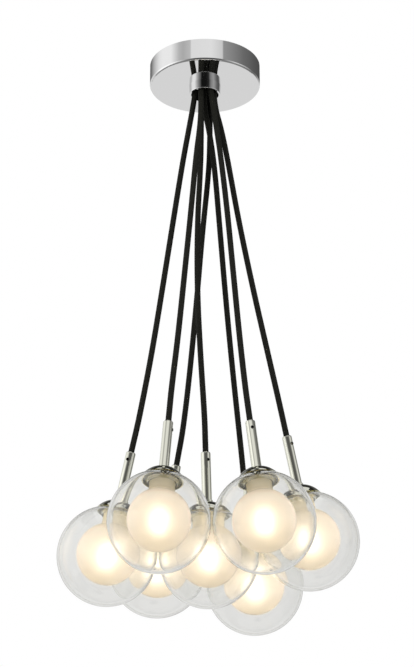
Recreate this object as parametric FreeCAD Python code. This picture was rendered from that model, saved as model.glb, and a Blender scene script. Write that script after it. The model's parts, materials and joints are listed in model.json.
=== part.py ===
"""Seven-drop cluster pendant for a ceiling, in millimetres with +Z up.

A shallow round canopy carries a collar that gathers seven fabric cords. Each cord carries a stem, a domed cap, a
lampholder with its bulb, and a clear globe with a frosted globe inside it. The six outer drops lean on the centre
one. The origin is the middle of the face that meets the ceiling, +X is the right of the front view and +Y is away
from it.
"""
import FreeCAD
import Part

import math
import os
from collections import namedtuple

# Canopy
CANOPY_DIAMETER = 120.0
CANOPY_DEPTH = 25.0
CANOPY_WALL = 1.2
CANOPY_EDGE_RADIUS = 2.0

# Collar under the canopy, with the threaded spigot that its lock ring clamps
COLLAR_DIAMETER = 35.0
COLLAR_DEPTH = 10.0
COLLAR_BORE = 30.0
COLLAR_TAPER = 0.5
COLLAR_EDGE_RADIUS = 0.8
SPIGOT_WALL = 1.8
SPIGOT_LENGTH = 7.0
LOCK_RING_WIDTH = 5.0
LOCK_RING_THICKNESS = 3.5
LOCK_RING_NOTCHES = 4
LOCK_RING_NOTCH_WIDTH = 5.0
LOCK_RING_NOTCH_DEPTH = 2.0

# Plate with seven holes, the grips that hang on it, and the block that the cords are wired to
CORD_RING_RADIUS = 9.5
PLATE_OVERHANG = 3.2
PLATE_THICKNESS = 3.0
GRIP_WALL = 1.4
GRIP_LENGTH = 6.0
GRIP_SLIT = 1.0
BLOCK_RIM = 8.0
BLOCK_THICKNESS = 5.0
PORT_DEPTH = 1.5
STUD_DIAMETER = 4.0
STUD_SPACING = 24.0

# Strap that is screwed to the ceiling, and the screws that hold the canopy on its ears
BRACKET_LENGTH = 104.0
BRACKET_WIDTH = 22.0
BRACKET_THICKNESS = 2.0
EAR_DEPTH = 16.0
SLOT_LENGTH = 11.0
SLOT_WIDTH = 5.0
SLOT_SPACING = 80.0
CANOPY_SCREW_DIAMETER = 4.0
CANOPY_SCREW_DROP = 10.0
NUT_ACROSS_FLATS = 7.0
NUT_THICKNESS = 3.2
SCREW_END = 1.0
SCREW_SLOT_WIDTH = 0.8
SCREW_SLOT_DEPTH = 1.0
EARTH_SCREW_DIAMETER = 4.0
EARTH_SCREW_PLACE = -27.5
EARTH_HEAD_DIAMETER = 7.0
EARTH_HEAD_HEIGHT = 2.4
EARTH_WASHER_DIAMETER = 9.0
EARTH_WASHER_THICKNESS = 1.0

# Clear globe: the lip turns in over a rounded crown and runs down a short funnel to the frosted neck
GLOBE_DIAMETER = 100.0
GLOBE_WALL = 1.8
GLOBE_GAP = 0.8
LIP_DIAMETER = 37.6
CROWN_RADIUS = 3.3
FUNNEL_ANGLE = 25.0

# Frosted globe
BALL_DIAMETER = 62.0
BALL_LIFT = 2.0
BALL_WALL = 1.6
NECK_DIAMETER = 25.6
NECK_FILLET = 3.0
NECK_ABOVE_LIP = -0.8
FLANGE_WIDTH = 1.5
FLANGE_THICKNESS = 1.4
GLASS_SEAT_GAP = 0.3

# Domed cap
CAP_DIAMETER = 43.0
CAP_HEIGHT = 12.3
CAP_WALL = 1.0
CAP_BOSS_DIAMETER = 12.4
CAP_SEAT_GAP = 0.5

# Stem with its set screw
STEM_DIAMETER = 10.0
STEM_LENGTH = 52.6
STEM_TOP_RADIUS = 1.4
FOOT_HEIGHT = 1.6
FOOT_STEP = 0.3
TAIL_DIAMETER = 8.0
TAIL_LENGTH = 8.0
SET_SCREW_DIAMETER = 3.2
SET_SCREW_DROP = 9.0
SET_SCREW_PROUD = 0.6
SET_SCREW_SOCKET = 1.6
SET_SCREW_SOCKET_DEPTH = 1.0

# Lampholder and bulb
HOLDER_DIAMETER = 20.0
HOLDER_LENGTH = 27.2
HOLDER_SHOULDER = 5.4
HOLDER_EDGE = 0.8
SPRING_COUNT = 3
SPRING_WIDTH = 3.0
SPRING_THICKNESS = 0.3
SPRING_LENGTH = 12.0
SPRING_BOW = 0.55
SPRING_RISE = 8.0
LEAD_DIAMETER = 1.6
LEAD_SPACING = 2.6
PIN_SPACING = 9.0
PIN_DIAMETER = 1.2
PIN_LENGTH = 10.0
BULB_DIAMETER = 13.2
BULB_LENGTH = 44.0
BULB_BASE_WIDTH = 13.2
BULB_BASE_THICKNESS = 5.6
BULB_BASE_LENGTH = 12.5
BULB_BASE_SEAT = 5.5
BULB_WAIST_DIAMETER = 8.0

# Cords: a stretch into the block, a stretch in line with the stem, and the length that enters the stem
CORD_DIAMETER = 6.0
CORD_STRAIGHT_BELOW_PLATE = 6.0
CORD_STRAIGHT_ABOVE_STEM = 40.0
CORD_IN_STEM = 26.0

# Clearances
FIT = 0.1
CORD_CLEARANCE = 0.2
PLUG_CLEARANCE = 0.4

# How the cluster hangs: the centre globe's middle below the ceiling and off to the right, the turn of the six round
# it, and the heights of the corners of the cords' routes as shares of that hang
HANG = 557.5
CLUSTER_OFFSET = 4.0
CLUSTER_TURN = 1.8
ROUTE_LEVELS = (0.09, 0.14, 0.212, 0.334, 0.477, 0.61)

# Each drop: bearing of its globe about the centre one, how much higher it hangs, bearing of its cord's hole,
# lean of its axis along X and Y, bearing of its set screw, and its cord's route between collar and stem
Drop = namedtuple("Drop", "name bearing lift hole lean screw route")
DROPS = (
    Drop("left", 180.0, 1.5, 180.0, (0.200, 0.020), 254.0,
         ((-13.0, 0.0), (-17.5, 0.0), (-24.0, 0.0), (-33.5, 0.5), (-44.5, 1.0), (-55.0, 0.5))),
    Drop("front_left", 240.0, 10.7, 240.0, (0.071, 0.190), 355.0,
         ((-4.0, -9.5), (-5.0, -11.5), (-9.5, -15.5), (-14.5, -23.5), (-21.0, -36.0), (-27.0, -49.0))),
    Drop("front_right", 300.0, 10.9, 300.0, (-0.112, 0.160), 282.0,
         ((8.5, -9.5), (12.0, -12.0), (17.0, -16.0), (23.5, -25.5), (29.5, -38.5), (35.0, -52.0))),
    Drop("right", 0.0, 18.8, 0.0, (-0.194, -0.040), 312.0,
         ((11.0, 0.0), (18.0, -0.5), (25.0, -1.5), (35.5, -3.0), (50.0, -4.5), (65.0, -4.5))),
    Drop("back_right", 60.0, -4.9, None, (-0.095, -0.165), 300.0,
         ((-1.0, 1.5), (5.0, 4.5), (10.5, 9.5), (16.0, 20.0), (22.5, 35.0), (29.5, 50.0))),
    Drop("back_left", 120.0, 12.5, 60.0, (0.175, -0.140), 270.0,
         ((5.5, 9.5), (5.5, 12.5), (4.5, 17.0), (-2.5, 27.0), (-9.0, 41.0), (-16.0, 54.5))),
    Drop("centre", None, 0.0, 120.0, (-0.028, 0.0), 295.0,
         ((-4.0, 8.0), (-4.0, 7.5), (-4.5, 6.5), (-8.0, 4.5), (-8.0, 2.0), (-4.5, 0.0))),
)

# Heights in the canopy, from the ceiling face down
CANOPY_FLOOR = -CANOPY_DEPTH
CANOPY_FLOOR_TOP = CANOPY_FLOOR + CANOPY_WALL
COLLAR_MOUTH = CANOPY_FLOOR - COLLAR_DEPTH
PLATE_BOTTOM = CANOPY_FLOOR + SPIGOT_LENGTH
PLATE_TOP = PLATE_BOTTOM + PLATE_THICKNESS
BLOCK_TOP = -BRACKET_THICKNESS
BLOCK_BOTTOM = BLOCK_TOP - BLOCK_THICKNESS
SPIGOT_RADIUS = COLLAR_BORE / 2 + SPIGOT_WALL
EAR_FACE = BRACKET_LENGTH / 2

# Heights in a drop, from its globe's middle up its axis
CORD_RADIUS = CORD_DIAMETER / 2
GLOBE_RADIUS = GLOBE_DIAMETER / 2
CROWN_TILT = math.degrees(math.asin(LIP_DIAMETER / GLOBE_DIAMETER))
CROWN_REACH = GLOBE_RADIUS - CROWN_RADIUS
CROWN_CENTRE = (CROWN_REACH * math.sin(math.radians(CROWN_TILT)), CROWN_REACH * math.cos(math.radians(CROWN_TILT)))
CROWN_TOP = CROWN_CENTRE[1] + CROWN_RADIUS
NECK_RADIUS = NECK_DIAMETER / 2
NECK_TOP = CROWN_TOP + NECK_ABOVE_LIP
CAP_RIM = math.sqrt(GLOBE_RADIUS**2 - (CAP_DIAMETER / 2 - CAP_WALL) ** 2) + CAP_SEAT_GAP
CAP_TOP = CAP_RIM + CAP_HEIGHT
CAP_ARC = ((CAP_DIAMETER / 2) ** 2 + CAP_HEIGHT**2) / (2 * CAP_HEIGHT)
CAP_ARC_CENTRE = CAP_TOP - CAP_ARC
CAP_BOSS_RADIUS = CAP_BOSS_DIAMETER / 2
CAP_INSIDE = CAP_ARC_CENTRE + math.sqrt((CAP_ARC - CAP_WALL) ** 2 - CAP_BOSS_RADIUS**2)
STEM_TOP = CAP_TOP + STEM_LENGTH
STEM_BORE = CORD_RADIUS + CORD_CLEARANCE
TAIL_END = CAP_TOP - TAIL_LENGTH
TAIL_HOLE = TAIL_DIAMETER / 2 + FIT
HOLDER_RADIUS = HOLDER_DIAMETER / 2
HOLDER_SHOULDER_HEIGHT = CAP_INSIDE - HOLDER_SHOULDER
HOLDER_BOTTOM = HOLDER_SHOULDER_HEIGHT - HOLDER_LENGTH
SOCKET_TOP = HOLDER_BOTTOM + BULB_BASE_SEAT + PLUG_CLEARANCE
BULB_TOP = HOLDER_BOTTOM + BULB_BASE_SEAT
CORD_END = STEM_TOP - CORD_IN_STEM

ORIGIN = FreeCAD.Vector(0, 0, 0)
UP = FreeCAD.Vector(0, 0, 1)


def on_circle(centre, radius, tilt):
    """Point of a profile circle, tilt degrees from straight up towards the outside."""
    angle = math.radians(tilt)
    return (centre[0] + radius * math.sin(angle), centre[1] + radius * math.cos(angle))


def edges_through(start, steps):
    """Edges of a profile in the XZ plane. A step is the next corner, or an arc's middle and end."""
    edges = []
    here = FreeCAD.Vector(start[0], 0, start[1])
    for step in steps:
        if isinstance(step[0], tuple):
            middle, there = (FreeCAD.Vector(r, 0, z) for r, z in step)
            edges.append(Part.Arc(here, middle, there).toShape())
        else:
            there = FreeCAD.Vector(step[0], 0, step[1])
            edges.append(Part.LineSegment(here, there).toShape())
        here = there
    return edges


def closed_face(start, *steps):
    return Part.Face(Part.Wire(edges_through(start, steps + (start,))))


def turned(start, *steps):
    """Solid of revolution about Z from a closed profile of radius and height."""
    return closed_face(start, *steps).revolve(ORIGIN, UP, 360)


def tube(outer, inner, bottom, top):
    return turned((inner, bottom), (outer, bottom), (outer, top), (inner, top))


def rod(radius, bottom, top, x=0.0, y=0.0):
    return Part.makeCylinder(radius, top - bottom, FreeCAD.Vector(x, y, bottom))


def block(low, high):
    sizes = [b - a for a, b in zip(low, high)]
    return Part.makeBox(*sizes, FreeCAD.Vector(*low))


def turn_about_z(shape, angle):
    return shape.rotated(ORIGIN, UP, angle)


def round_the_axis(shape, count):
    return [turn_about_z(shape, 360.0 * i / count) for i in range(count)]


def hole_place(drop):
    """Where a drop's cord goes through the plate: one of six holes on a ring, or the middle one."""
    if drop.hole is None:
        return (0.0, 0.0)
    angle = math.radians(drop.hole)
    return (CORD_RING_RADIUS * math.cos(angle), CORD_RING_RADIUS * math.sin(angle))


def globe_place(drop):
    """Middle of a drop's globe: round the centre one, a globe and a gap away."""
    x, y = CLUSTER_OFFSET, 0.0
    if drop.bearing is not None:
        angle = math.radians(drop.bearing + CLUSTER_TURN)
        spacing = GLOBE_DIAMETER + GLOBE_GAP
        x += spacing * math.cos(angle)
        y += spacing * math.sin(angle)
    return FreeCAD.Vector(x, y, drop.lift - HANG)


def drop_axis(drop):
    x, y = drop.lean
    return FreeCAD.Vector(x, y, math.sqrt(1 - x * x - y * y))


def along_axis(drop, height):
    return globe_place(drop) + drop_axis(drop) * height


def hung(shape, drop):
    """Moves a shape made on the Z axis to a drop's place and lean."""
    turn = FreeCAD.Rotation(UP, drop_axis(drop))
    placed = shape.copy()
    placed.Placement = FreeCAD.Placement(globe_place(drop), turn).multiply(shape.Placement)
    return placed


def canopy_shell():
    outer = CANOPY_DIAMETER / 2
    inner = outer - CANOPY_WALL
    edge = CANOPY_EDGE_RADIUS
    inner_edge = max(edge - CANOPY_WALL, FIT)
    spigot_hole = SPIGOT_RADIUS + FIT
    corner = (outer - edge, CANOPY_FLOOR + edge)
    inner_corner = (inner - inner_edge, CANOPY_FLOOR_TOP + inner_edge)
    cup = turned(
        (spigot_hole, CANOPY_FLOOR), (outer - edge, CANOPY_FLOOR),
        (on_circle(corner, edge, 135), (outer, CANOPY_FLOOR + edge)),
        (outer, 0), (inner, 0), (inner, CANOPY_FLOOR_TOP + inner_edge),
        (on_circle(inner_corner, inner_edge, 135), (inner - inner_edge, CANOPY_FLOOR_TOP)),
        (spigot_hole, CANOPY_FLOOR_TOP),
    )
    return cup.cut(side_rod(CANOPY_SCREW_DIAMETER / 2 + FIT, -CANOPY_DIAMETER, CANOPY_DIAMETER))


def side_rod(radius, start, end):
    """Rod along X at the height of the canopy's screws."""
    return Part.makeCylinder(radius, end - start, FreeCAD.Vector(start, 0, -CANOPY_SCREW_DROP), FreeCAD.Vector(1, 0, 0))


def cord_collar():
    """Ring under the canopy, a little narrower at its mouth, with its spigot."""
    outer, bore, edge = COLLAR_DIAMETER / 2, COLLAR_BORE / 2, COLLAR_EDGE_RADIUS
    mouth = outer - COLLAR_TAPER
    corner = (mouth - edge, COLLAR_MOUTH + edge)
    return turned(
        (bore, COLLAR_MOUTH), (corner[0], COLLAR_MOUTH), (on_circle(corner, edge, 135), (mouth, corner[1])),
        (outer, CANOPY_FLOOR), (SPIGOT_RADIUS, CANOPY_FLOOR), (SPIGOT_RADIUS, PLATE_BOTTOM), (bore, PLATE_BOTTOM),
    )


def collar_lock_ring():
    inner = SPIGOT_RADIUS + FIT
    outer = inner + LOCK_RING_WIDTH
    top = CANOPY_FLOOR_TOP + LOCK_RING_THICKNESS
    half = LOCK_RING_NOTCH_WIDTH / 2
    notch = block((outer - LOCK_RING_NOTCH_DEPTH, -half, CANOPY_FLOOR_TOP), (outer + half, half, top))
    return tube(outer, inner, CANOPY_FLOOR_TOP, top).cut(round_the_axis(notch, LOCK_RING_NOTCHES))


def cord_holes(bottom, top):
    return [rod(CORD_RADIUS + CORD_CLEARANCE, bottom, top, *hole_place(drop)) for drop in DROPS]


def cord_plate():
    radius = COLLAR_BORE / 2 + SPIGOT_WALL + PLATE_OVERHANG
    return rod(radius, PLATE_BOTTOM, PLATE_TOP).cut(cord_holes(PLATE_BOTTOM, PLATE_TOP))


def cord_grips():
    """Split sleeves, one on each cord, that rest on the plate."""
    outer = CORD_RADIUS + CORD_CLEARANCE / 2 + GRIP_WALL
    top = PLATE_TOP + GRIP_LENGTH
    slit = block((0, -GRIP_SLIT / 2, PLATE_TOP), (outer * 2, GRIP_SLIT / 2, top))
    sleeve = tube(outer, CORD_RADIUS + CORD_CLEARANCE / 2, PLATE_TOP, top).cut(slit)
    grips = []
    for drop in DROPS:
        grip = turn_about_z(sleeve, drop.hole or 0.0)
        grip.translate(FreeCAD.Vector(*hole_place(drop), 0))
        grips.append(grip)
    return Part.makeCompound(grips)


def terminal_block():
    """Round wiring block: seven ports below, two studs that snap through the strap."""
    disc = rod(CORD_RING_RADIUS + CORD_RADIUS + BLOCK_RIM, BLOCK_BOTTOM, BLOCK_TOP)
    studs = [rod(STUD_DIAMETER / 2, BLOCK_TOP, -FIT, x) for x in (-STUD_SPACING / 2, STUD_SPACING / 2)]
    return disc.fuse(studs).cut(cord_holes(BLOCK_BOTTOM, BLOCK_BOTTOM + PORT_DEPTH)).removeSplitter()


def strap_slot(x):
    half = (SLOT_LENGTH - SLOT_WIDTH) / 2
    radius = SLOT_WIDTH / 2
    ends = [rod(radius, -BRACKET_THICKNESS, 0, x + side * half) for side in (-1, 1)]
    return block((x - half, -radius, -BRACKET_THICKNESS), (x + half, radius, 0)).fuse(ends)


def ceiling_bracket():
    half = BRACKET_WIDTH / 2
    strap = block((-EAR_FACE, -half, -BRACKET_THICKNESS), (EAR_FACE, half, 0))
    ear = block((EAR_FACE - BRACKET_THICKNESS, -half, -EAR_DEPTH), (EAR_FACE, half, -BRACKET_THICKNESS))
    body = strap.fuse(round_the_axis(ear, 2)).removeSplitter()
    cuts = [strap_slot(side * SLOT_SPACING / 2) for side in (-1, 1)]
    cuts += [rod(STUD_DIAMETER / 2 + FIT, BLOCK_TOP, 0, side * STUD_SPACING / 2) for side in (-1, 1)]
    cuts.append(rod(EARTH_SCREW_DIAMETER / 2 + FIT, BLOCK_TOP, 0, EARTH_SCREW_PLACE))
    cuts.append(side_rod(CANOPY_SCREW_DIAMETER / 2 + FIT, -EAR_FACE, EAR_FACE))
    return body.cut(cuts)


def hexagon(across_flats, start, end, place):
    """Hexagonal bar along X."""
    radius = across_flats / math.sqrt(3)
    corners = []
    for i in range(7):
        angle = math.radians(60 * i)
        corners.append(FreeCAD.Vector(start, place[0] + radius * math.sin(angle), place[1] + radius * math.cos(angle)))
    return Part.Face(Part.makePolygon(corners)).extrude(FreeCAD.Vector(end - start, 0, 0))


def bracket_nuts():
    """Weld nuts on the inner faces of the strap's ears."""
    face = EAR_FACE - BRACKET_THICKNESS
    nut = hexagon(NUT_ACROSS_FLATS, face - NUT_THICKNESS, face, (0, -CANOPY_SCREW_DROP))
    nut = nut.cut(side_rod(CANOPY_SCREW_DIAMETER / 2 + FIT, 0, face))
    return Part.makeCompound(round_the_axis(nut, 2))


def canopy_screws():
    """Slotted grub screws that go through the canopy's wall into the weld nuts."""
    outer = CANOPY_DIAMETER / 2
    inner = EAR_FACE - BRACKET_THICKNESS - NUT_THICKNESS - SCREW_END
    screw = side_rod(CANOPY_SCREW_DIAMETER / 2, inner, outer)
    half = SCREW_SLOT_WIDTH / 2
    slot = block((outer - SCREW_SLOT_DEPTH, -half, -CANOPY_DEPTH), (outer, half, 0))
    return Part.makeCompound(round_the_axis(screw.cut(slot), 2))


def earth_screw():
    """Pan-head screw and washer under the strap, for the earth wire."""
    x = EARTH_SCREW_PLACE
    washer_bottom = -BRACKET_THICKNESS - EARTH_WASHER_THICKNESS
    head_bottom = washer_bottom - EARTH_HEAD_HEIGHT
    radius = EARTH_SCREW_DIAMETER / 2
    head = rod(EARTH_HEAD_DIAMETER / 2, head_bottom, washer_bottom, x)
    half = SCREW_SLOT_WIDTH / 2
    reach = EARTH_HEAD_DIAMETER / 2
    slot = block((x - reach, -half, head_bottom), (x + reach, half, head_bottom + SCREW_SLOT_DEPTH))
    screw = head.fuse(rod(radius, washer_bottom, 0, x)).cut(slot)
    washer = tube(EARTH_WASHER_DIAMETER / 2, radius + FIT, washer_bottom, -BRACKET_THICKNESS)
    washer.translate(FreeCAD.Vector(x, 0, 0))
    return Part.makeCompound([screw, washer])


def outer_globe():
    """Clear blown globe whose lip turns in to a short funnel round the frosted neck."""
    centre = (0.0, 0.0)
    inner_radius = GLOBE_RADIUS - GLOBE_WALL
    inner_crown = CROWN_RADIUS - GLOBE_WALL
    funnel_tilt = FUNNEL_ANGLE - 90
    crown_middle = (CROWN_TILT + funnel_tilt) / 2
    side = (180 + CROWN_TILT) / 2
    funnel = math.radians(FUNNEL_ANGLE)
    top = on_circle(CROWN_CENTRE, CROWN_RADIUS, funnel_tilt)
    run = (top[0] - NECK_RADIUS - GLASS_SEAT_GAP) / math.sin(funnel)
    slope = (-run * math.sin(funnel), -run * math.cos(funnel))
    inner_top = on_circle(CROWN_CENTRE, inner_crown, funnel_tilt)
    return turned(
        (0, -GLOBE_RADIUS),
        (on_circle(centre, GLOBE_RADIUS, side), on_circle(centre, GLOBE_RADIUS, CROWN_TILT)),
        (on_circle(CROWN_CENTRE, CROWN_RADIUS, crown_middle), top),
        (top[0] + slope[0], top[1] + slope[1]),
        (inner_top[0] + slope[0], inner_top[1] + slope[1]),
        inner_top,
        (on_circle(CROWN_CENTRE, inner_crown, crown_middle), on_circle(centre, inner_radius, CROWN_TILT)),
        (on_circle(centre, inner_radius, side), (0, -inner_radius)),
    )


def inner_globe():
    """Frosted globe with a straight neck and a flange that rests on the clear globe's funnel."""
    centre = (0.0, BALL_LIFT)
    radius = BALL_DIAMETER / 2
    inner_radius = radius - BALL_WALL
    neck_inner = NECK_RADIUS - BALL_WALL
    fillet_r = NECK_RADIUS + NECK_FILLET
    rise = math.sqrt((radius + NECK_FILLET) ** 2 - fillet_r**2)
    fillet = (fillet_r, BALL_LIFT + rise)
    tilt = math.degrees(math.atan2(fillet_r, rise))
    side = (180 + tilt) / 2
    bend = (180 + tilt + 270) / 2
    flange_bottom = NECK_TOP - FLANGE_THICKNESS
    inner_bend = NECK_FILLET + BALL_WALL
    return turned(
        (0, BALL_LIFT - radius),
        (on_circle(centre, radius, side), on_circle(centre, radius, tilt)),
        (on_circle(fillet, NECK_FILLET, bend), (NECK_RADIUS, fillet[1])),
        (NECK_RADIUS, flange_bottom),
        (NECK_RADIUS + FLANGE_WIDTH, flange_bottom),
        (NECK_RADIUS + FLANGE_WIDTH, NECK_TOP),
        (neck_inner, NECK_TOP),
        (neck_inner, fillet[1]),
        (on_circle(fillet, inner_bend, bend), on_circle(centre, inner_radius, tilt)),
        (on_circle(centre, inner_radius, side), (0, BALL_LIFT - inner_radius)),
    )


def cap():
    """Spun dome with a small flat boss that the stem's foot stands on."""
    centre = (0.0, CAP_ARC_CENTRE)
    inner_arc = CAP_ARC - CAP_WALL
    rim = CAP_DIAMETER / 2
    rim_height = CAP_RIM - CAP_ARC_CENTRE
    rim_inner = math.sqrt(inner_arc**2 - rim_height**2)
    shoulder = CAP_ARC_CENTRE + math.sqrt(CAP_ARC**2 - CAP_BOSS_RADIUS**2)
    tilts = [math.degrees(math.asin(r / CAP_ARC)) for r in (CAP_BOSS_RADIUS, rim)]
    inner_tilts = [math.degrees(math.asin(r / inner_arc)) for r in (CAP_BOSS_RADIUS, rim_inner)]
    return turned(
        (TAIL_HOLE, CAP_TOP), (CAP_BOSS_RADIUS, CAP_TOP), (CAP_BOSS_RADIUS, shoulder),
        (on_circle(centre, CAP_ARC, sum(tilts) / 2), (rim, CAP_RIM)),
        (rim_inner, CAP_RIM),
        (on_circle(centre, inner_arc, sum(inner_tilts) / 2), (CAP_BOSS_RADIUS, CAP_INSIDE)),
        (TAIL_HOLE, CAP_INSIDE),
    )


def set_screw_rod(radius, start, end):
    height = STEM_TOP - SET_SCREW_DROP
    return Part.makeCylinder(radius, end - start, FreeCAD.Vector(start, 0, height), FreeCAD.Vector(1, 0, 0))


def stem(drop):
    """Stem tube with a foot and a threaded tail, and the set screw that holds the cord in it."""
    radius = STEM_DIAMETER / 2
    foot = CAP_BOSS_RADIUS - FOOT_STEP
    foot_top = CAP_TOP + FOOT_HEIGHT
    step = foot - radius
    corner = (radius - STEM_TOP_RADIUS, STEM_TOP - STEM_TOP_RADIUS)
    body = turned(
        (STEM_BORE, TAIL_END), (TAIL_DIAMETER / 2, TAIL_END), (TAIL_DIAMETER / 2, CAP_TOP), (foot, CAP_TOP),
        (foot, foot_top - step / 2), (radius, foot_top), (radius, corner[1]),
        (on_circle(corner, STEM_TOP_RADIUS, 45), (corner[0], STEM_TOP)), (STEM_BORE, STEM_TOP),
    )
    body = body.cut(set_screw_rod(SET_SCREW_DIAMETER / 2 + FIT, 0, STEM_DIAMETER))
    end = radius + SET_SCREW_PROUD
    screw = set_screw_rod(SET_SCREW_DIAMETER / 2, CORD_RADIUS + FIT, end)
    screw = screw.cut(hexagon(SET_SCREW_SOCKET, end - SET_SCREW_SOCKET_DEPTH, end, (0, STEM_TOP - SET_SCREW_DROP)))
    return turn_about_z(Part.makeCompound([body, screw]), drop.screw)


def neck_spring():
    """Bowed leaf on the lampholder that bears on the inside of the frosted neck."""
    inside = HOLDER_RADIUS + FIT / 2
    outside = inside + SPRING_THICKNESS
    bottom = HOLDER_BOTTOM + SPRING_RISE
    middle, top = bottom + SPRING_LENGTH / 2, bottom + SPRING_LENGTH
    leaf = closed_face(
        (outside, bottom), ((outside + SPRING_BOW, middle), (outside, top)),
        (inside, top), ((inside + SPRING_BOW, middle), (inside, bottom)),
    )
    leaf.translate(FreeCAD.Vector(0, -SPRING_WIDTH / 2, 0))
    return leaf.extrude(FreeCAD.Vector(0, SPRING_WIDTH, 0))


def lampholder():
    """Ceramic pin holder with neck springs, and the two leads that meet the cord inside the stem."""
    bore_bottom = TAIL_END - PLUG_CLEARANCE
    body = turned(
        (0, HOLDER_BOTTOM), (HOLDER_RADIUS - HOLDER_EDGE, HOLDER_BOTTOM),
        (HOLDER_RADIUS, HOLDER_BOTTOM + HOLDER_EDGE), (HOLDER_RADIUS, HOLDER_SHOULDER_HEIGHT),
        (CAP_BOSS_RADIUS, HOLDER_SHOULDER_HEIGHT), (CAP_BOSS_RADIUS, CAP_INSIDE), (TAIL_HOLE, CAP_INSIDE),
        (TAIL_HOLE, bore_bottom), (0, bore_bottom),
    )
    half_width = BULB_BASE_WIDTH / 2 + PLUG_CLEARANCE
    half_thickness = BULB_BASE_THICKNESS / 2 + PLUG_CLEARANCE
    socket = block((-half_width, -half_thickness, HOLDER_BOTTOM), (half_width, half_thickness, SOCKET_TOP))
    pin_top = BULB_TOP + PIN_LENGTH + PLUG_CLEARANCE
    pin_holes = [rod(PIN_DIAMETER / 2 + FIT, SOCKET_TOP, pin_top, side * PIN_SPACING / 2) for side in (-1, 1)]
    leads = [rod(LEAD_DIAMETER / 2, bore_bottom, CORD_END, side * LEAD_SPACING / 2) for side in (-1, 1)]
    springs = round_the_axis(neck_spring(), SPRING_COUNT)
    return Part.makeCompound([body.cut([socket] + pin_holes)] + springs + leads)


def bulb():
    """Pin bulb: a glass capsule on a flat pinched base with two pins."""
    radius = BULB_DIAMETER / 2
    waist = BULB_WAIST_DIAMETER / 2
    bottom = BULB_TOP - BULB_LENGTH
    base_bottom = BULB_TOP - BULB_BASE_LENGTH
    dome = (0.0, bottom + radius)
    shoulder = (0.0, base_bottom)
    capsule = turned(
        (0, bottom), (on_circle(dome, radius, 135), (radius, dome[1])), (radius, shoulder[1]),
        (on_circle(shoulder, radius, 45), on_circle(shoulder, radius, 0)),
    )
    half_width = BULB_BASE_WIDTH / 2
    half_thickness = BULB_BASE_THICKNESS / 2
    base = block((-half_width, -half_thickness, base_bottom), (half_width, half_thickness, BULB_TOP))
    collar = rod(waist, base_bottom, BULB_TOP - BULB_BASE_SEAT - PLUG_CLEARANCE)
    pins = [rod(PIN_DIAMETER / 2, BULB_TOP, BULB_TOP + PIN_LENGTH, side * PIN_SPACING / 2) for side in (-1, 1)]
    return capsule.fuse([base, collar] + pins).removeSplitter()


def cord_route(drop):
    """Corners of a cord's path: block, collar, the hand-chosen points, and the stem's own line."""
    x, y = hole_place(drop)
    start = [FreeCAD.Vector(x, y, BLOCK_BOTTOM + PORT_DEPTH)]
    start.append(FreeCAD.Vector(x, y, PLATE_BOTTOM - CORD_STRAIGHT_BELOW_PLATE))
    free = [FreeCAD.Vector(x, y, -HANG * level) for (x, y), level in zip(drop.route, ROUTE_LEVELS)]
    end = [along_axis(drop, STEM_TOP + CORD_STRAIGHT_ABOVE_STEM), along_axis(drop, CORD_END)]
    return start + free + end


def tangent_path(points):
    """Straight runs joined by tangent arcs, each as large as its two runs allow, with the arcs' radii."""
    edges, radii, here = [], [], points[0]
    for before, corner, after in zip(points, points[1:], points[2:]):
        back = (before - corner).normalize()
        ahead = (after - corner).normalize()
        half_turn = (math.pi - back.getAngle(ahead)) / 2
        reach = 0.45 * min(before.distanceToPoint(corner), after.distanceToPoint(corner))
        radius = reach / math.tan(half_turn)
        inward = (back + ahead).normalize()
        middle = corner + inward * (radius / math.cos(half_turn) - radius)
        edges.append(Part.LineSegment(here, corner + back * reach).toShape())
        here = corner + ahead * reach
        edges.append(Part.Arc(corner + back * reach, middle, here).toShape())
        radii.append(radius)
    edges.append(Part.LineSegment(here, points[-1]).toShape())
    return Part.Wire(edges), radii


def cord(drop):
    points = cord_route(drop)
    path, radii = tangent_path(points)
    first_run = (points[1] - points[0]).normalize()
    section = Part.Wire(Part.makeCircle(CORD_RADIUS, points[0], first_run))
    solid = path.makePipeShell([section], True, False)
    expected = math.pi * CORD_RADIUS**2 * path.Length
    print(f"cord_{drop.name}: length {path.Length:.1f}, least radius {min(radii):.0f}, "
          f"volume over section times length {solid.Volume / expected:.4f}")
    return solid


def canopy_pieces():
    return {
        "canopy_shell": canopy_shell(),
        "cord_collar": cord_collar(),
        "collar_lock_ring": collar_lock_ring(),
        "cord_plate": cord_plate(),
        "cord_grips": cord_grips(),
        "terminal_block": terminal_block(),
        "ceiling_bracket": ceiling_bracket(),
        "bracket_nuts": bracket_nuts(),
        "canopy_screws": canopy_screws(),
        "earth_screw": earth_screw(),
    }


def drop_pieces(drop):
    return {
        f"cord_{drop.name}": cord(drop),
        f"stem_{drop.name}": hung(stem(drop), drop),
        f"cap_{drop.name}": hung(cap(), drop),
        f"lampholder_{drop.name}": hung(lampholder(), drop),
        f"bulb_{drop.name}": hung(bulb(), drop),
        f"outer_globe_{drop.name}": hung(outer_globe(), drop),
        f"inner_globe_{drop.name}": hung(inner_globe(), drop),
    }


def main():
    os.makedirs("parts", exist_ok=True)
    pieces = canopy_pieces()
    for drop in DROPS:
        pieces.update(drop_pieces(drop))
    for name, shape in pieces.items():
        shape.exportStep(f"parts/{name}.step")


main()
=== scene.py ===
"""Looks of the seven-drop cluster pendant, in metres with +Z up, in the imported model's frame."""
import json
import math
from collections import namedtuple

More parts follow.
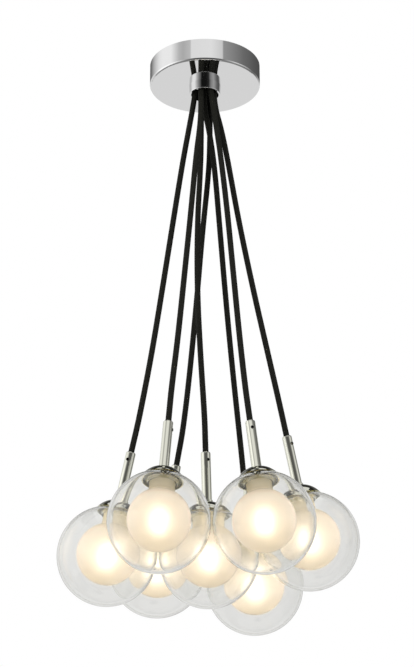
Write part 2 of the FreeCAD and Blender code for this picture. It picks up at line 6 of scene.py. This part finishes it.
import bpy
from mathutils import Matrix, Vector


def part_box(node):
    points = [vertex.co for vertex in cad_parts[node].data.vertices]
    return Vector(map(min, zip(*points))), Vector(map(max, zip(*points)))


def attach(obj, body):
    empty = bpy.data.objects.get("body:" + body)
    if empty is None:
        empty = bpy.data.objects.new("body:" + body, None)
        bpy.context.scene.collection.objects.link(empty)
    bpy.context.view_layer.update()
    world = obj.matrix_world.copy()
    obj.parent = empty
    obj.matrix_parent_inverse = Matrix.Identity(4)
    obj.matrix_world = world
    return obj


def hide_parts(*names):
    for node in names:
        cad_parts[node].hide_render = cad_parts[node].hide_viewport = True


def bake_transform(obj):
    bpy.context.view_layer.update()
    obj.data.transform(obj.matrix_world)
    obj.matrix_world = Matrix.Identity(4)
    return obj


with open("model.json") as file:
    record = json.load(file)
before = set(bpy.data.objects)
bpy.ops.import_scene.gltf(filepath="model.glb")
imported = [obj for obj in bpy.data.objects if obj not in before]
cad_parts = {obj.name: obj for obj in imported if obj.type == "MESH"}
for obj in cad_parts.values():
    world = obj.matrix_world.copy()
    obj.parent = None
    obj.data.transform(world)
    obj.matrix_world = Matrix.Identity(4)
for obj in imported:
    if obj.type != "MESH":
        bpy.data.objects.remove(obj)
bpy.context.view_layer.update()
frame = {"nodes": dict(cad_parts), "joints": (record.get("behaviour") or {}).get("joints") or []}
NODES = frame["nodes"]
SCENE = bpy.context.scene

# Camera, as fitted to the photograph
CAMERA_PLACE = (0.0023, -1.9338, -1.1117)
CAMERA_PITCH = math.radians(22.36)
FOCAL_PIXELS = 2015.3
IMAGE_HEIGHT = 667
SENSOR_HEIGHT = 36.0

# Cords
CORD_DIAMETER = 0.0060
CORD_RING_RADIUS = 0.0095
CORD_START_Z = -0.0055
CORD_GRIPPED_Z = -0.014
CORD_STRAIGHT_Z = -0.024
STEM_TOP = 0.1110
CORD_END = 0.0850
ABOVE_STEM = (0.040, 0.012)
BRAID_STRANDS = 8
BRAID_PITCH = 0.022
BRAID_RELIEF = 0.00016
BRAID_MIDDLE = 0.6
CORD_SIDES = 32
LINE_RESOLUTION = 90

# Drop, from its globe's middle up its axis
STEM_RADIUS = 0.0050
SET_SCREW_HEIGHT = 0.1020
SET_SCREW_RADIUS = 0.0016
BALL_LIFT = 0.002
BALL_LOW = BALL_LIFT - 0.031
NECK_TOP = BALL_LIFT + 0.046
LIP_RADII = (0.013, 0.020)
LIP_HEIGHTS = (0.030, 0.032)
FILAMENT_HEIGHT = -0.002
GLOW_LOW = FILAMENT_HEIGHT - 0.02
GLOW_HIGH = FILAMENT_HEIGHT + 0.02

# Studio
STUDIO_CENTRE = (0.0, 0.0, -0.25)
STUDIO_RADIUS = 2.8
STUDIO_SIDES = 120
FLOOR_Z = -2.4
FLOOR_SIZE = 16.0
FILL_STRENGTH = 0.55
LIGHT_TARGET = (0, 0, -0.35)
LIGHT_SIZE = (1.2, 1.2)

# Each drop: bearings in degrees of its cord's hole, which is None for the middle hole, and of its
# set screw, and the x and y of its cord's route between collar and stem at ROUTE_HEIGHTS
ROUTE_HEIGHTS = (-0.0502, -0.0781, -0.1182, -0.1862, -0.2659, -0.3401)
Drop = namedtuple("Drop", "name hole screw route")
DROPS = (
    Drop("left", 180.0, 254.0, (
        (-0.013, 0), (-0.0175, 0), (-0.024, 0),
        (-0.0335, 0.0005), (-0.0445, 0.001), (-0.055, 0.0005))),
    Drop("front_left", 240.0, 355.0, (
        (-0.004, -0.0095), (-0.005, -0.0115), (-0.0095, -0.0155),
        (-0.0145, -0.0235), (-0.021, -0.036), (-0.027, -0.049))),
    Drop("front_right", 300.0, 282.0, (
        (0.0085, -0.0095), (0.012, -0.012), (0.017, -0.016),
        (0.0235, -0.0255), (0.0295, -0.0385), (0.035, -0.052))),
    Drop("right", 0.0, 312.0, (
        (0.011, 0), (0.018, -0.0005), (0.025, -0.0015),
        (0.0355, -0.003), (0.050, -0.0045), (0.065, -0.0045))),
    Drop("back_right", None, 300.0, (
        (-0.001, 0.0015), (0.005, 0.0045), (0.0105, 0.0095),
        (0.016, 0.020), (0.0225, 0.035), (0.0295, 0.050))),
    Drop("back_left", 60.0, 270.0, (
        (0.0055, 0.0095), (0.0055, 0.0125), (0.0045, 0.017),
        (-0.0025, 0.027), (-0.009, 0.041), (-0.016, 0.0545))),
    Drop("centre", 120.0, 295.0, (
        (-0.004, 0.008), (-0.004, 0.0075), (-0.0045, 0.0065),
        (-0.008, 0.0045), (-0.008, 0.002), (-0.0045, 0))),
)
FIXED_DROP = "centre"

# Materials
CHROME = (0.80, 0.80, 0.80)
DROP_CHROME = (0.80, 0.80, 0.70)
CHROME_ROUGHNESS = (0.015, 0.05)
CHROME_GRAIN = 90.0
SCREW_BLACK = (0.015, 0.015, 0.015)
# Dark olive of the lip: the thick glass's own green with a painted reflection of the chrome cap
LIP_GREEN_AND_CAP_REFLECTION = (0.16, 0.14, 0.045)
WAVE_GRAIN = 60.0
WAVE_DEPTH = 0.001

# Painted glow of a frosted globe's shoulder and neck, standing in for its own bulb's light alone,
# and with its neighbours' light painted on it as well
FRONT_DROPS = ("front_left", "front_right")
NECK_GLOW_OWN_BULB = ((0.196, 0.167, 0.120), (0.152, 0.138, 0.091))
NECK_GLOW_WITH_NEIGHBOURS_LIGHT = ((0.27, 0.24, 0.18), (0.39, 0.35, 0.26))


def globe_centre(drop):
    """Middle of a drop's clear globe, whose sides and bottom are a whole sphere."""
    low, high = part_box(f"outer_globe_{drop.name}")
    radius = (high.x - low.x) / 2
    return Vector(((low.x + high.x) / 2, (low.y + high.y) / 2, low.z + radius))


def drop_axis(drop):
    """Unit vector up a drop's axis, against the way its globe comes off."""
    release = next(j for j in frame["joints"] if j["name"] == f"globe_release_{drop.name}")
    return -Vector(release["axis"])


def upright_to(drop):
    """Turn that takes straight up to a drop's axis."""
    return Vector((0, 0, 1)).rotation_difference(drop_axis(drop))


def set_screw_place(drop):
    """Middle of the set screw's face, on the outside of its stem."""
    angle = math.radians(drop.screw)
    local = Vector((STEM_RADIUS * math.cos(angle), STEM_RADIUS * math.sin(angle), SET_SCREW_HEIGHT))
    return globe_centre(drop) + upright_to(drop) @ local


def shader(name):
    """A new material with its node tree, and its Principled shader."""
    material = bpy.data.materials.new(name)
    material.use_nodes = True
    return material, material.node_tree, material.node_tree.nodes["Principled BSDF"]


def add(tree, kind, **inputs):
    """A node of a kind, with values for its inputs by name."""
    node = tree.nodes.new(kind)
    for key, value in inputs.items():
        node.inputs[key.replace("_", " ")].default_value = value
    return node


def ramp(tree, source, *stops):
    """Colour ramp of a value, from stops of place and colour."""
    node = tree.nodes.new("ShaderNodeValToRGB")
    tree.links.new(source, node.inputs["Fac"])
    elements = node.color_ramp.elements
    while len(elements) < len(stops):
        elements.new(1.0)
    for element, (place, colour) in zip(elements, stops):
        element.position = place
        element.color = (*colour, 1.0)
    return node.outputs["Color"]


def spread(tree, source, low, high):
    """Maps a value from 0..1 to low..high."""
    node = add(tree, "ShaderNodeMapRange", To_Min=low, To_Max=high)
    tree.links.new(source, node.inputs["Value"])
    return node.outputs["Result"]


def object_coordinates(tree):
    return tree.nodes.new("ShaderNodeTexCoord").outputs["Object"]


def noise(tree, scale, detail=2.0, vector=None):
    node = add(tree, "ShaderNodeTexNoise", Scale=scale, Detail=detail)
    tree.links.new(vector or object_coordinates(tree), node.inputs["Vector"])
    return node.outputs["Fac"]


def bump(tree, principled, height, strength, distance):
    node = add(tree, "ShaderNodeBump", Strength=strength, Distance=distance)
    tree.links.new(height, node.inputs["Height"])
    tree.links.new(node.outputs["Normal"], principled.inputs["Normal"])


def metal(name, colour, roughness, grain, wave=0.0):
    """Metal whose roughness drifts with a fine grain, and whose surface may wave a little."""
    material, tree, p = shader(name)
    p.inputs["Base Color"].default_value = (*colour, 1.0)
    p.inputs["Metallic"].default_value = 1.0
    tree.links.new(spread(tree, noise(tree, grain), *roughness), p.inputs["Roughness"])
    if wave:
        bump(tree, p, noise(tree, WAVE_GRAIN, 1.0), wave, WAVE_DEPTH)
    return material


def moulded(name, colour, roughness, grain):
    """Moulded plastic or ceramic with a fine grain and a little drift in colour."""
    material, tree, p = shader(name)
    speckle = noise(tree, grain, 3.0)
    darker = tuple(0.85 * c for c in colour)
    tree.links.new(ramp(tree, speckle, (0.35, darker), (0.65, colour)), p.inputs["Base Color"])
    tree.links.new(spread(tree, speckle, *roughness), p.inputs["Roughness"])
    bump(tree, p, speckle, 0.1, 0.0002)
    return material


def braid_material():
    """Black braided sleeve: crossing strands of yarn that catch a little light on their crowns."""
    material, tree, p = shader("braided_sleeve")
    uv = tree.nodes.new("ShaderNodeTexCoord").outputs["UV"]
    yarn = noise(tree, 900.0, 2.0, uv)
    tone = ramp(tree, yarn, (0.3, (0.004, 0.004, 0.003)), (0.7, (0.015, 0.015, 0.012)))
    tree.links.new(tone, p.inputs["Base Color"])
    p.inputs["Roughness"].default_value = 0.75
    p.inputs["Sheen Weight"].default_value = 0.02
    p.inputs["Sheen Roughness"].default_value = 0.4
    p.inputs["Specular IOR Level"].default_value = 0.1
    bump(tree, p, yarn, 0.4, 0.0002)
    return material


def share_of(tree, source, low, high):
    """A value as 0 at low and 1 at high."""
    node = add(tree, "ShaderNodeMapRange", From_Min=low, From_Max=high)
    tree.links.new(source, node.inputs["Value"])
    return node.outputs["Result"]


def distance_from(tree, place, reach):
    """Distance from a place on the object, as 0 there and 1 at a reach."""
    away = tree.nodes.new("ShaderNodeVectorMath")
    away.operation = "DISTANCE"
    away.inputs[1].default_value = place
    tree.links.new(object_coordinates(tree), away.inputs[0])
    return share_of(tree, away.outputs["Value"], 0.0, reach)


def stem_chrome(drop):
    """Polished chrome with a black set screw."""
    material = metal(f"stem_chrome_{drop.name}", DROP_CHROME, CHROME_ROUGHNESS, CHROME_GRAIN)
    tree = material.node_tree
    away = distance_from(tree, set_screw_place(drop), 2 * SET_SCREW_RADIUS)
    tone = ramp(tree, away, (0.5, SCREW_BLACK), (0.54, DROP_CHROME))
    tree.links.new(tone, tree.nodes["Principled BSDF"].inputs["Base Color"])
    return material


def radius_and_height(tree, drop):
    """Distance from a drop's axis, and height up it from its globe's middle."""
    local = add(tree, "ShaderNodeMapping")
    local.vector_type = "TEXTURE"
    local.inputs["Location"].default_value = globe_centre(drop)
    local.inputs["Rotation"].default_value = upright_to(drop).to_euler()
    tree.links.new(object_coordinates(tree), local.inputs["Vector"])
    axes = tree.nodes.new("ShaderNodeSeparateXYZ")
    tree.links.new(local.outputs["Vector"], axes.inputs["Vector"])
    across = tree.nodes.new("ShaderNodeCombineXYZ")
    tree.links.new(axes.outputs["X"], across.inputs["X"])
    tree.links.new(axes.outputs["Y"], across.inputs["Y"])
    radius = tree.nodes.new("ShaderNodeVectorMath")
    radius.operation = "LENGTH"
    tree.links.new(across.outputs["Vector"], radius.inputs[0])
    return radius.outputs["Value"], axes.outputs["Z"]


def height_on_axis(tree, drop, low, high):
    """Height from a drop's globe's middle up its axis, as 0 at low and 1 at high."""
    return share_of(tree, radius_and_height(tree, drop)[1], low, high)


def clear_glass(drop):
    """Clear blown glass with slow waves, greener on edge and at its thick lip, with painted shade
    darkening the edge and a painted reflection of the chrome cap darkening the lip.
    """
    material, tree, p = shader(f"clear_glass_{drop.name}")
    # Painted shade: the edge seen at a slant darkens far more than the glass's own green would,
    # standing in for dark surroundings seen there
    facing = add(tree, "ShaderNodeLayerWeight", Blend=0.5).outputs["Facing"]
    through = ramp(tree, facing, (0.0, (0.975, 0.975, 0.965)), (0.75, (0.965, 0.965, 0.95)),
                   (0.84, (0.50, 0.50, 0.42)), (1.0, (0.20, 0.20, 0.15)))
    radius, height = radius_and_height(tree, drop)
    # Painted reflection: the dark olive ring at the lip stands in for the chrome cap reflected in
    # it, over the thick glass's own green
    lip = ramp(tree, share_of(tree, radius, *LIP_RADII), (0.0, (0.86, 0.85, 0.74)),
               (0.45, (0.80, 0.78, 0.62)), (0.54, LIP_GREEN_AND_CAP_REFLECTION), (0.85, LIP_GREEN_AND_CAP_REFLECTION),
               (0.93, (1.0, 1.0, 1.0)))
    both = tree.nodes.new("ShaderNodeMix")
    both.data_type = "RGBA"
    both.blend_type = "MULTIPLY"
    tree.links.new(share_of(tree, height, *LIP_HEIGHTS), both.inputs["Factor"])
    for source, socket in zip((through, lip), [i for i in both.inputs if i.type == "RGBA"]):
        tree.links.new(source, socket)
    tree.links.new(next(o for o in both.outputs if o.type == "RGBA"), p.inputs["Base Color"])
    p.inputs["Roughness"].default_value = 0.0
    p.inputs["IOR"].default_value = 1.47
    p.inputs["Transmission Weight"].default_value = 1.0
    bump(tree, p, noise(tree, 25.0, 1.0), 0.03, 0.002)
    return material


def frosted_glass(drop):
    """Acid-frosted glass with a painted glow standing in for its bulb's light: brightest round the
    bulb, dimmer at bottom and neck.
    """
    material, tree, p = shader(f"frosted_glass_{drop.name}")
    height = height_on_axis(tree, drop, BALL_LOW, NECK_TOP)
    shoulder, neck = NECK_GLOW_OWN_BULB if drop.name in FRONT_DROPS else NECK_GLOW_WITH_NEIGHBOURS_LIGHT
    # Painted light: emission standing in for the bulb's light in the frosted glass, with the
    # neighbours' light also painted on the back drops' necks
    glow = ramp(tree, height, (0.0, (0.163, 0.134, 0.083)), (0.25, (0.337, 0.304, 0.275)),
                (0.55, (0.348, 0.319, 0.297)), (0.78, shoulder), (0.9, neck))
    tree.links.new(glow, p.inputs["Emission Color"])
    p.inputs["Emission Strength"].default_value = 0.4
    body = ramp(tree, height, (0.78, (0.97, 0.91, 0.80)), (0.9, (0.88, 0.81, 0.64)))
    tree.links.new(body, p.inputs["Base Color"])
    p.inputs["Transmission Weight"].default_value = 0.9
    p.inputs["IOR"].default_value = 1.4
    tree.links.new(spread(tree, noise(tree, 700.0), 0.55, 0.65), p.inputs["Roughness"])
    bump(tree, p, noise(tree, 1500.0), 0.08, 0.0002)
    return material


def lit_bulb(drop):
    """Glowing capsule, brightest at the filament."""
    material, tree, p = shader(f"lit_bulb_{drop.name}")
    p.inputs["Base Color"].default_value = (1.0, 0.95, 0.85, 1.0)
    p.inputs["Roughness"].default_value = 0.2
    height = height_on_axis(tree, drop, GLOW_LOW, GLOW_HIGH)
    glow = ramp(tree, height, (0.1, (0.08, 0.07, 0.05)), (0.38, (1.0, 0.95, 0.87)),
                (0.62, (1.0, 0.95, 0.87)), (0.95, (0.04, 0.03, 0.02)))
    tree.links.new(glow, p.inputs["Emission Color"])
    p.inputs["Emission Strength"].default_value = 3.0
    return material


def paint(material, *nodes):
    """Gives CAD nodes a material in place of their own."""
    for name in nodes:
        for slot in NODES[name].material_slots:
            slot.link = "OBJECT"
            slot.material = material


def cord_points(drop):
    """Corners of a cord's route: grip, plate and collar, its own points, and the stem's line."""
    x, y = 0.0, 0.0
    if drop.hole is not None:
        angle = math.radians(drop.hole)
        x, y = CORD_RING_RADIUS * math.cos(angle), CORD_RING_RADIUS * math.sin(angle)
    start = [(x, y, z) for z in (CORD_START_Z, CORD_GRIPPED_Z, CORD_STRAIGHT_Z)]
    centre, axis = globe_centre(drop), drop_axis(drop)
    heights = [STEM_TOP + above for above in ABOVE_STEM] + [CORD_END]
    free = [(*place, z) for place, z in zip(drop.route, ROUTE_HEIGHTS)]
    return start + free + [tuple(centre + axis * h) for h in heights]


def smooth_line(name, corners):
    """Points along the smooth line that has these corners as its control points."""
    curve = bpy.data.curves.new(name, "CURVE")
    curve.dimensions = "3D"
    curve.resolution_u = LINE_RESOLUTION
    spline = curve.splines.new("NURBS")
    spline.points.add(len(corners) - 1)
    for point, corner in zip(spline.points, corners):
        point.co = (*corner, 1.0)
    spline.order_u = 3
    spline.use_endpoint_u = True
    spline.resolution_u = LINE_RESOLUTION
    holder = bpy.data.objects.new(name, curve)
    mesh = bpy.data.meshes.new_from_object(holder)
    points = [v.co.copy() for v in mesh.vertices]
    bpy.data.objects.remove(holder)
    bpy.data.curves.remove(curve)
    bpy.data.meshes.remove(mesh)
    return points


def braid_height(turn, along):
    """Relief of a plain braid, 0 to 1: strands that wind both ways and go over and under."""
    one = BRAID_STRANDS * (turn + along / BRAID_PITCH)
    other = BRAID_STRANDS * (turn - along / BRAID_PITCH)
    on_top = (math.floor(one) + math.floor(other)) % 2 == 0
    return abs(math.sin(math.pi * (one if on_top else other)))


def braided_tube(name, line):
    """Closed tube round a line, with the relief of its braid."""
    vertices, faces, uvs = [], [], []
    normal, along = Vector((1, 0, 0)), 0.0
    for i, here in enumerate(line):
        tangent = (line[min(i + 1, len(line) - 1)] - line[max(i - 1, 0)]).normalized()
        normal = (normal - tangent * normal.dot(tangent)).normalized()
        side = tangent.cross(normal)
        along += (here - line[i - 1]).length if i else 0.0
        for k in range(CORD_SIDES):
            turn = k / CORD_SIDES
            angle = 2 * math.pi * turn
            radius = CORD_DIAMETER / 2 + BRAID_RELIEF * (braid_height(turn, along) - BRAID_MIDDLE)
            vertices.append(here + (normal * math.cos(angle) + side * math.sin(angle)) * radius)
            uvs.append((turn * math.pi * CORD_DIAMETER, along))
    last = (len(line) - 1) * CORD_SIDES
    for ring in range(len(line) - 1):
        for k in range(CORD_SIDES):
            a, b = ring * CORD_SIDES + k, ring * CORD_SIDES + (k + 1) % CORD_SIDES
            faces.append((a, b, b + CORD_SIDES, a + CORD_SIDES))
    faces.append(tuple(reversed(range(CORD_SIDES))))
    faces.append(tuple(range(last, last + CORD_SIDES)))
    mesh = bpy.data.meshes.new(name)
    mesh.from_pydata(vertices, [], faces)
    layer = mesh.uv_layers.new(name="along_cord")
    for loop in mesh.loops:
        layer.data[loop.index].uv = uvs[loop.vertex_index]
    mesh.shade_smooth()
    tube = bpy.data.objects.new(name, mesh)
    SCENE.collection.objects.link(tube)
    return tube


def make_cord(drop, material):
    corners = cord_points(drop)
    line = smooth_line(f"line_{drop.name}", corners)
    tube = braided_tube(f"braided_cord_{drop.name}", line)
    tube.data.materials.append(material)
    if drop.name == FIXED_DROP:
        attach(tube, "canopy")
    else:
        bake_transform(tube)
    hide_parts(f"cord_{drop.name}")


def make_camera():
    data = bpy.data.cameras.new("camera")
    data.sensor_fit = "VERTICAL"
    data.sensor_height = SENSOR_HEIGHT
    data.lens = FOCAL_PIXELS / IMAGE_HEIGHT * SENSOR_HEIGHT
    camera = bpy.data.objects.new("camera", data)
    camera.location = CAMERA_PLACE
    camera.rotation_euler = (math.pi / 2 + CAMERA_PITCH, 0, 0)
    SCENE.collection.objects.link(camera)
    SCENE.camera = camera


def make_world():
    """White to the camera and in what metal and glass show, and an even grey fill for the rest."""
    world = bpy.data.worlds.new("studio")
    world.use_nodes = True
    SCENE.world = world
    tree = world.node_tree
    tree.nodes.clear()
    path = tree.nodes.new("ShaderNodeLightPath")
    seen = path.outputs["Is Camera Ray"]
    for output in ("Is Glossy Ray", "Is Transmission Ray"):
        either = tree.nodes.new("ShaderNodeMath")
        either.operation = "MAXIMUM"
        tree.links.new(seen, either.inputs[0])
        tree.links.new(path.outputs[output], either.inputs[1])
        seen = either.outputs[0]
    fill = add(tree, "ShaderNodeBackground", Color=(1, 1, 1, 1), Strength=FILL_STRENGTH)
    white = add(tree, "ShaderNodeBackground", Color=(1, 1, 1, 1), Strength=1.0)
    mix = tree.nodes.new("ShaderNodeMixShader")
    tree.links.new(seen, mix.inputs[0])
    tree.links.new(fill.outputs[0], mix.inputs[1])
    tree.links.new(white.outputs[0], mix.inputs[2])
    output = tree.nodes.new("ShaderNodeOutputWorld")
    tree.links.new(mix.outputs[0], output.inputs["Surface"])


def panel(name, place, target, width, height):
    """Flat rectangle at a place, facing a target."""
    mesh = bpy.data.meshes.new(name)
    w, h = width / 2, height / 2
    mesh.from_pydata([(-w, -h, 0), (w, -h, 0), (w, h, 0), (-w, h, 0)], [], [(0, 1, 2, 3)])
    made = bpy.data.objects.new(name, mesh)
    made.location = place
    made.rotation_euler = (Vector(target) - Vector(place)).to_track_quat("Z", "Y").to_euler()
    SCENE.collection.objects.link(made)
    return made


def make_floor():
    """Pale floor under the cluster that turns to the background's white far out."""
    floor = panel("floor", (0, 0, FLOOR_Z), (0, 0, 0), FLOOR_SIZE, FLOOR_SIZE)
    material, tree, p = shader("pale_floor")
    away = distance_from(tree, (0, 0, 0), FLOOR_SIZE / 2)
    tone = ramp(tree, away, (0.1, (0.75, 0.75, 0.745)), (0.85, (0.0, 0.0, 0.0)))
    tree.links.new(tone, p.inputs["Base Color"])
    glow = ramp(tree, away, (0.1, (0.42, 0.42, 0.42)), (0.85, (1.0, 1.0, 1.0)))
    tree.links.new(glow, p.inputs["Emission Color"])
    p.inputs["Emission Strength"].default_value = 1.0
    p.inputs["Roughness"].default_value = 0.9
    p.inputs["Specular IOR Level"].default_value = 0.0
    floor.data.materials.append(material)


def glowing(name, tree_of):
    """A material that gives out a colour, which tree_of works out in its node tree."""
    material = bpy.data.materials.new(name)
    material.use_nodes = True
    tree = material.node_tree
    tree.nodes.clear()
    glow = add(tree, "ShaderNodeEmission", Strength=1.0)
    tree_of(tree, glow.inputs["Color"])
    output = tree.nodes.new("ShaderNodeOutputMaterial")
    tree.links.new(glow.outputs[0], output.inputs["Surface"])
    return material


def seen_by_alone(made, rays):
    for kind in ("camera", "diffuse", "glossy", "transmission", "shadow"):
        setattr(made, f"visible_{kind}", kind == rays)


def studio_ring(name, rays, low, high, tones):
    """Ring of studio walls between two elevations in degrees, seen by one kind of ray alone.
    A tone is a bearing, 0 on the camera's side and 90 on the right, and the brightness there."""
    corners, faces = [], []
    for k in range(STUDIO_SIDES):
        a = 2 * math.pi * k / STUDIO_SIDES
        for elevation in (low, high):
            z = STUDIO_RADIUS * math.tan(math.radians(elevation))
            corners.append((STUDIO_RADIUS * math.cos(a), STUDIO_RADIUS * math.sin(a), z))
        after = (k + 1) % STUDIO_SIDES
        faces.append((2 * k, 2 * k + 1, 2 * after + 1, 2 * after))
    mesh = bpy.data.meshes.new(name)
    mesh.from_pydata(corners, [], faces)
    made = bpy.data.objects.new(name, mesh)
    made.location = STUDIO_CENTRE
    made.rotation_euler.z = -math.pi / 2
    SCENE.collection.objects.link(made)

    def by_bearing(tree, colour):
        round_about = tree.nodes.new("ShaderNodeTexGradient")
        round_about.gradient_type = "RADIAL"
        tree.links.new(object_coordinates(tree), round_about.inputs["Vector"])
        stops = [(bearing / 360 + 0.5, (tone, tone, tone)) for bearing, tone in tones]
        tree.links.new(ramp(tree, round_about.outputs["Fac"], *stops), colour)

    made.data.materials.append(glowing(name, by_bearing))
    seen_by_alone(made, rays)


def studio_panel(name, place, size, tone):
    """Level square panel over or under the cluster, seen in metal and glass alone."""
    made = panel(name, place, (place[0], place[1], STUDIO_CENTRE[2]), size, size)

    def even(tree, colour):
        colour.default_value = (tone, tone, tone, 1.0)

    made.data.materials.append(glowing(name, even))
    seen_by_alone(made, "glossy")


def soft_light(name, place, target, size, power):
    data = bpy.data.lights.new(name, "AREA")
    data.shape = "RECTANGLE"
    data.size, data.size_y = size
    data.energy = power
    lamp = bpy.data.objects.new(name, data)
    lamp.location = place
    lamp.rotation_euler = (Vector(target) - Vector(place)).to_track_quat("-Z", "Y").to_euler()
    lamp.visible_glossy = False
    lamp.visible_transmission = False
    SCENE.collection.objects.link(lamp)


make_camera()
make_world()
make_floor()
studio_ring("studio_room", "transmission", low=-45, high=60, tones=(
    (-180, 0.80), (-90, 0.92), (0, 0.80), (90, 0.68), (180, 0.80)))
studio_ring("studio_low", "glossy", low=-42, high=-12, tones=(
    (-180, 0.80), (-150, 0.80), (-125, 0.62), (-100, 1.15), (-78, 1.12), (-60, 0.60), (-45, 0.30),
    (-24, 0.01), (10, 0.01), (28, 0.03), (44, 0.30), (66, 0.46), (94, 0.18), (120, 0.10),
    (150, 0.80), (180, 0.80)))
studio_ring("studio_middle", "glossy", low=-12, high=26, tones=(
    (-180, 0.80), (-150, 0.80), (-115, 0.80), (-100, 1.25), (-65, 1.25), (-38, 0.42), (-20, 0.12),
    (20, 0.11), (36, 0.22), (62, 0.82), (80, 0.70), (110, 0.16), (122, 0.16), (150, 0.80),
    (180, 0.80)))
studio_ring("studio_high", "glossy", low=26, high=50, tones=(
    (-180, 0.06), (-150, 0.20), (-111, 0.91), (-98, 1.0), (-75, 1.0), (-55, 0.56), (-46, 0.49),
    (-30, 0.60), (-28.5, 0.86), (13, 0.89), (37, 0.70), (38.5, 0.34), (88, 0.17), (125, 0.11),
    (180, 0.06)))
studio_panel("studio_ceiling", (0, 0, 3.09), 2 * STUDIO_RADIUS, tone=0.02)
studio_panel("studio_overhead", (0, 0, 3.0), 2.4, tone=0.80)
studio_panel("studio_floor", (0, 0, -2.35), 2 * STUDIO_RADIUS, tone=0.25)
soft_light("key", (-1.6, -2.2, 0.8), LIGHT_TARGET, LIGHT_SIZE, power=60)
soft_light("fill", (1.8, -1.6, -0.4), LIGHT_TARGET, LIGHT_SIZE, power=25)

chrome = metal("polished_chrome", CHROME, CHROME_ROUGHNESS, CHROME_GRAIN)
cap_chrome = metal("cap_chrome", DROP_CHROME, CHROME_ROUGHNESS, CHROME_GRAIN)
zinc = metal("zinc_plate", (0.55, 0.56, 0.58), roughness=(0.25, 0.42), grain=240.0, wave=0.1)
brass = metal("brass", (0.70, 0.52, 0.22), roughness=(0.18, 0.32), grain=240.0, wave=0.1)
nylon = moulded("white_nylon", (0.80, 0.80, 0.78), roughness=(0.35, 0.5), grain=900.0)
black_plastic = moulded("black_plastic", (0.02, 0.02, 0.02), roughness=(0.3, 0.45), grain=900.0)
ceramic = moulded("white_ceramic", (0.84, 0.83, 0.80), roughness=(0.2, 0.35), grain=600.0)
braid = braid_material()

paint(chrome, "canopy_shell", "cord_collar", "canopy_screws")
paint(zinc, "ceiling_bracket", "bracket_nuts", "collar_lock_ring")
paint(brass, "earth_screw")
paint(nylon, "cord_grips", "terminal_block")
paint(black_plastic, "cord_plate")
for drop in DROPS:
    paint(cap_chrome, f"cap_{drop.name}")
    paint(stem_chrome(drop), f"stem_{drop.name}")
    paint(ceramic, f"lampholder_{drop.name}")
    paint(lit_bulb(drop), f"bulb_{drop.name}")
    paint(clear_glass(drop), f"outer_globe_{drop.name}")
    paint(frosted_glass(drop), f"inner_globe_{drop.name}")
    make_cord(drop, braid)

SCENE.view_settings.view_transform = "Standard"
SCENE.cycles.max_bounces = 32
SCENE.cycles.transmission_bounces = 32
SCENE.cycles.glossy_bounces = 8
